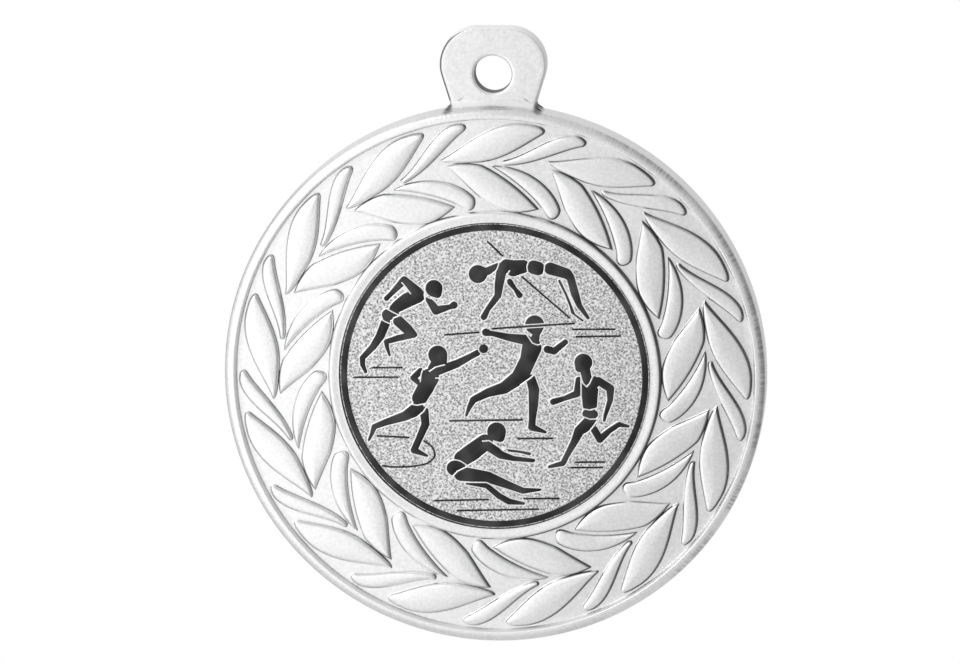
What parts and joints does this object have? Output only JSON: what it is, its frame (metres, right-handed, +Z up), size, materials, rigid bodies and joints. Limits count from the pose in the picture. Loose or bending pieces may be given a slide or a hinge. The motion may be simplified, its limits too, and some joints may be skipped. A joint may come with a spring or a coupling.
{
  "type": "sports medal",
  "caption": "Round silver sports medal with a laurel wreath in relief, an integral hanging loop and a round enamelled emblem of track and field athletes.",
  "frame": {"origin": "centre of the hanging loop's hole, halfway through the loop's thickness", "axes": "+Z up as the medal hangs, +X to the right seen from the front, +Y towards the back, so the face looks along -Y"},
  "size_m": [0.0436, 0.003, 0.05],
  "materials": {
    "silver_plated_metal": "satin silver plating",
    "adhesive": "soft double-sided adhesive",
    "emblem_metal": "sand-textured silver",
    "dark_enamel": "glossy dark enamel"
  },
  "bodies": {
    "root": {"medal_body": "silver_plated_metal", "adhesive_pad": "adhesive", "emblem_plate": "emblem_metal", "enamel_ring": "dark_enamel", "enamel_sprinter": "dark_enamel", "enamel_high_jumper": "dark_enamel", "enamel_javelin_thrower": "dark_enamel", "enamel_shot_putter": "dark_enamel", "enamel_distance_runner": "dark_enamel", "enamel_long_jumper": "dark_enamel", "enamel_crossbar": "dark_enamel", "enamel_javelin": "dark_enamel", "enamel_shot": "dark_enamel", "enamel_throwing_circle": "dark_enamel", "enamel_ground_lines": "dark_enamel"}
  },
  "joints": []
}
